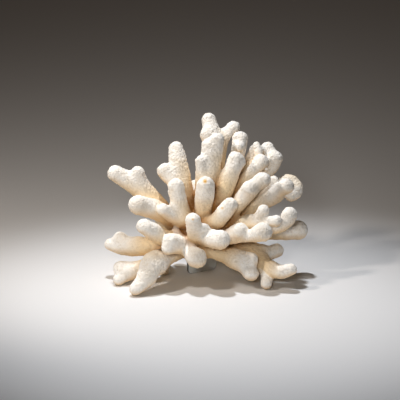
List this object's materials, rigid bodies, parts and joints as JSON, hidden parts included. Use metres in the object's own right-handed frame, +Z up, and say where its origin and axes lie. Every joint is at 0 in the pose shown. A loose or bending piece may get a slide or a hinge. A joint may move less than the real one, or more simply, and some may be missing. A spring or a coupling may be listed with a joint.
{
  "type": "cats paw coral specimen",
  "caption": "Bleached cats paw coral colony: blunt fingers fan out from a short trunk cut flat to rest on a small clear stand.",
  "frame": {"origin": "on the surface it stands on, under the middle of the whole specimen", "axes": "+Z up, -Y towards the open face of the fan of fingers, +X to the right as seen from there, along the widest way"},
  "size_m": [0.2046, 0.129, 0.1561],
  "materials": {
    "coral": "matte",
    "clear_acrylic": "gloss"
  },
  "bodies": {
    "root": {"trunk": "coral", "top_limb": "coral", "top_paddle": "coral", "brow_finger": "coral", "long_finger": "coral", "top_right_finger": "coral", "right_crown_finger": "coral", "right_crown_limb": "coral", "right_paw": "coral", "right_curl_limb": "coral", "right_front_finger": "coral", "right_knob_limb": "coral", "right_bone_limb": "coral", "right_far_limb": "coral", "lower_right_paw": "coral", "lower_right_fork": "coral", "lower_right_leg": "coral", "front_fork": "coral", "front_low_fork": "coral", "upper_left_limb": "coral", "left_shoulder_finger": "coral", "left_crown_fork": "coral", "left_front_fork": "coral", "left_front_finger": "coral", "left_far_limb": "coral", "lower_left_paw": "coral", "lower_left_fork": "coral", "left_heel": "coral", "back_top_fork": "coral", "back_left_top_fork": "coral", "back_left_fork": "coral", "back_left_leg": "coral", "back_right_top_fork": "coral", "back_right_fork": "coral", "back_right_leg": "coral", "back_middle_fork": "coral", "back_low_fork": "coral", "clear_stand": "clear_acrylic"}
  },
  "joints": []
}
